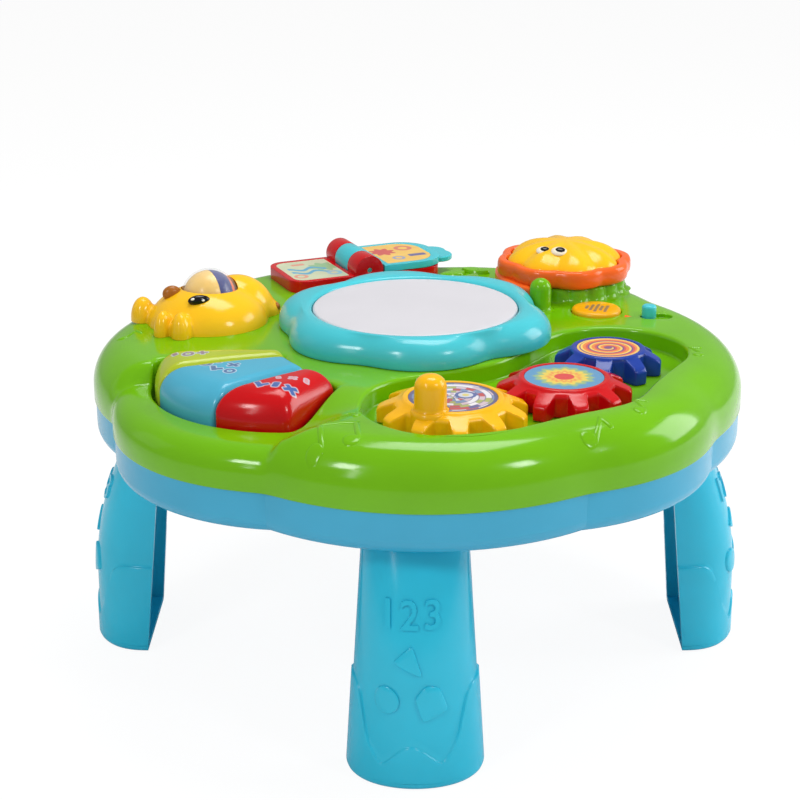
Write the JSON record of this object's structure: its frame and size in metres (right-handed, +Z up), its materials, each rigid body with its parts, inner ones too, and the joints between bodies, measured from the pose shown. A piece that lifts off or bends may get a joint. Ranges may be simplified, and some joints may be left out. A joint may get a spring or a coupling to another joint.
{
  "type": "musical activity table",
  "caption": "Toddler activity table: lobed green top with meshing gears, fan keys, drum, flip book, rolling ball and flower button on a blue tray with plug-in legs.",
  "frame": {"origin": "on the floor under the middle of the table", "axes": "+Z up; -Y towards the child at the keys and gears; +X to the child's right"},
  "size_m": [0.35, 0.35, 0.199],
  "materials": {
    "green_plastic": "glossy",
    "tray_plastic": "glossy",
    "leg_plastic": "glossy",
    "turquoise_plastic": "glossy",
    "drum_white": "satin",
    "foam": "matt foam",
    "yellow_plastic": "glossy",
    "red_plastic": "glossy",
    "dark_blue_plastic": "glossy",
    "key_green": "glossy",
    "key_blue_plastic": "glossy",
    "orange_plastic": "glossy",
    "ring_label": "printed label",
    "sunburst_label": "printed label",
    "spiral_label": "printed label",
    "base_label": "printed label",
    "page_label": "printed label",
    "clear_plastic": "clear",
    "rainbow_plastic": "glossy",
    "steel": "zinc plated",
    "rubber_white": "satin silicone",
    "circuit_board": "solder mask",
    "battery_jacket": "satin",
    "black_plastic": "matt"
  },
  "bodies": {
    "table": {"tray": "tray_plastic", "top_shell": "green_plastic", "leg_front": "leg_plastic", "leg_right": "leg_plastic", "leg_back": "leg_plastic", "leg_left": "leg_plastic", "drum_ring": "turquoise_plastic", "drum_pad": "foam", "drum_board": "circuit_board", "gear_screws": "steel", "key_domes": "rubber_white", "key_board": "circuit_board", "book_base": "red_plastic", "base_cards": "base_label", "book_pin": "steel", "hippo_body": "yellow_plastic", "flower_ring": "orange_plastic", "flower_dome": "rubber_white", "mode_dome": "rubber_white", "slide_switch": "black_plastic", "side_board": "circuit_board", "battery_door": "tray_plastic", "door_screw": "steel", "batteries": "battery_jacket", "battery_contacts": "steel", "speaker": "black_plastic", "main_board": "circuit_board", "board_screws": "steel", "shell_screws": "steel"},
    "drum": {"drum_disc": "drum_white"},
    "yellow_wheel": {"yellow_gear": "yellow_plastic", "yellow_gear_disc": "ring_label", "crank_peg": "yellow_plastic"},
    "red_wheel": {"red_gear": "red_plastic", "red_gear_disc": "sunburst_label"},
    "blue_wheel": {"blue_gear": "dark_blue_plastic", "blue_gear_disc": "spiral_label"},
    "yellow_key": {"key_yellow": "key_green"},
    "blue_key": {"key_blue": "key_blue_plastic"},
    "red_key": {"key_red": "red_plastic"},
    "page": {"book_page": "turquoise_plastic", "page_cards": "page_label"},
    "ball": {"roller_ball": "clear_plastic", "rainbow_band": "rainbow_plastic", "ball_axle": "steel"},
    "flower": {"flower_button": "yellow_plastic"},
    "mode": {"mode_button": "yellow_plastic"},
    "knob": {"switch_knob": "turquoise_plastic"}
  },
  "joints": [
    {"name": "yellow_gear_spin", "type": "hinge", "parent": "table", "child": "yellow_wheel", "pos_m": [0.018, -0.105, 0.1583], "axis": [0, 0, 1], "continuous": true},
    {"name": "red_gear_spin", "type": "hinge", "parent": "table", "child": "red_wheel", "pos_m": [0.07315, -0.07455, 0.1583], "axis": [0, 0, 1], "continuous": true},
    {"name": "blue_gear_spin", "type": "hinge", "parent": "table", "child": "blue_wheel", "pos_m": [0.09942, -0.02737, 0.1583], "axis": [0, 0, 1], "continuous": true},
    {"name": "yellow_key_press", "type": "slide", "parent": "table", "child": "yellow_key", "axis": [0, 0, -1], "range_m": [0, 0.0025], "stiffness_N_per_m": 400, "springref_m": -0.003, "deforming": ["key_domes"]},
    {"name": "blue_key_press", "type": "slide", "parent": "table", "child": "blue_key", "axis": [0, 0, -1], "range_m": [0, 0.0025], "stiffness_N_per_m": 400, "springref_m": -0.003, "deforming": ["key_domes"]},
    {"name": "red_key_press", "type": "slide", "parent": "table", "child": "red_key", "axis": [0, 0, -1], "range_m": [0, 0.0025], "stiffness_N_per_m": 400, "springref_m": -0.003, "deforming": ["key_domes"]},
    {"name": "drum_press", "type": "slide", "parent": "table", "child": "drum", "axis": [0, 0, -1], "range_m": [0, 0.0015], "stiffness_N_per_m": 900, "springref_m": -0.003, "deforming": ["drum_pad"]},
    {"name": "flower_press", "type": "slide", "parent": "table", "child": "flower", "axis": [0, 0, -1], "range_m": [0, 0.002], "stiffness_N_per_m": 500, "springref_m": -0.003, "deforming": ["flower_dome"]},
    {"name": "mode_press", "type": "slide", "parent": "table", "child": "mode", "axis": [0, 0, -1], "range_m": [0, 0.0015], "stiffness_N_per_m": 400, "springref_m": -0.002, "deforming": ["mode_dome"]},
    {"name": "switch_slide", "type": "slide", "parent": "table", "child": "knob", "axis": [1, 0, 0], "range_m": [0, 0.008]},
    {"name": "page_flip", "type": "hinge", "parent": "table", "child": "page", "pos_m": [-0.036, 0.123, 0.1774], "axis": [0.4067, -0.9135, 0], "range_deg": [0, 180]},
    {"name": "ball_roll", "type": "hinge", "parent": "table", "child": "ball", "pos_m": [-0.112, 0.034, 0.181], "axis": [0.9397, 0.342, 0], "continuous": true}
  ],
  "couplings": [
    {"joint": "red_gear_spin", "follows": "yellow_gear_spin", "ratio": -1.1},
    {"joint": "blue_gear_spin", "follows": "yellow_gear_spin", "ratio": 1.375}
  ]
}
